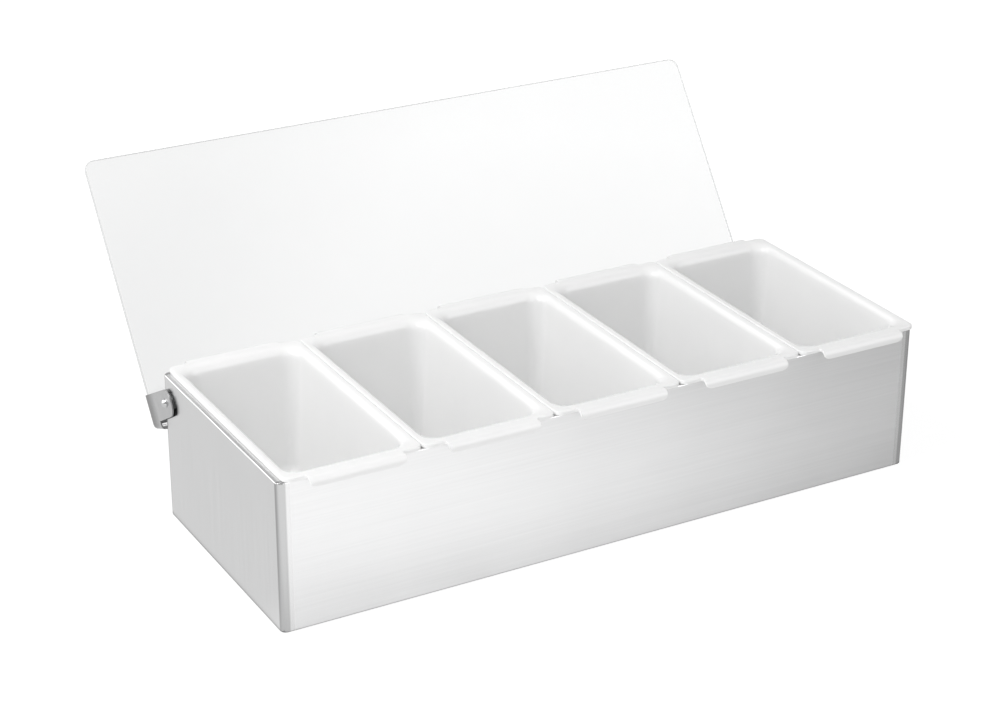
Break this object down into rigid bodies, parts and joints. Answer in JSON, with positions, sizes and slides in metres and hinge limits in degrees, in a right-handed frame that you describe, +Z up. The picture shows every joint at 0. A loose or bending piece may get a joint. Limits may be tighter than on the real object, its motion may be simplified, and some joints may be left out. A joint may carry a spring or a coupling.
{
  "type": "condiment caddy",
  "caption": "Long open-topped folded steel box with lift-out tapered tubs hanging by curled finger tabs, and one clear flat lid on riveted rear hinge brackets.",
  "frame": {"origin": "centre of the box's flat base, on the surface it stands on", "axes": "+X along the row of inserts, +Y to the back where the lid is hinged, +Z up"},
  "size_m": [0.4692, 0.3039, 0.2034],
  "materials": {
    "box_steel": "fine horizontal brushing",
    "bracket_steel": "polished folded sheet",
    "rivet_steel": "polished domed heads",
    "washer_steel": "satin",
    "insert_plastic": "milky white moulded plastic, soft gloss",
    "clear_lid": "clear sheet with polished faces and paler edges"
  },
  "bodies": {
    "box": {"body_wrapper": "box_steel", "left_end_panel": "box_steel", "right_end_panel": "box_steel", "left_pivot_rivet": "rivet_steel", "right_pivot_rivet": "rivet_steel", "left_spacer_washer": "washer_steel", "right_spacer_washer": "washer_steel", "left_backing_washer": "washer_steel", "right_backing_washer": "washer_steel"},
    "lid": {"lid_sheet": "clear_lid", "left_hinge_bracket": "bracket_steel", "right_hinge_bracket": "bracket_steel", "left_upper_lid_rivet": "rivet_steel", "left_lower_lid_rivet": "rivet_steel", "right_upper_lid_rivet": "rivet_steel", "right_lower_lid_rivet": "rivet_steel"},
    "insert_1_body": {"insert_1": "insert_plastic"},
    "insert_2_body": {"insert_2": "insert_plastic"},
    "insert_3_body": {"insert_3": "insert_plastic"},
    "insert_4_body": {"insert_4": "insert_plastic"},
    "insert_5_body": {"insert_5": "insert_plastic"}
  },
  "joints": [
    {"name": "lid_hinge", "type": "hinge", "parent": "box", "child": "lid", "pos_m": [0, 0.0796, 0.0824], "axis": [-1, 0, 0], "range_deg": [-129.9, 0]},
    {"name": "insert_1_lift", "type": "slide", "parent": "box", "child": "insert_1_body", "axis": [0, 0, 1], "range_m": [0, 0.1]},
    {"name": "insert_2_lift", "type": "slide", "parent": "box", "child": "insert_2_body", "axis": [0, 0, 1], "range_m": [0, 0.1]},
    {"name": "insert_3_lift", "type": "slide", "parent": "box", "child": "insert_3_body", "axis": [0, 0, 1], "range_m": [0, 0.1]},
    {"name": "insert_4_lift", "type": "slide", "parent": "box", "child": "insert_4_body", "axis": [0, 0, 1], "range_m": [0, 0.1]},
    {"name": "insert_5_lift", "type": "slide", "parent": "box", "child": "insert_5_body", "axis": [0, 0, 1], "range_m": [0, 0.1]}
  ]
}
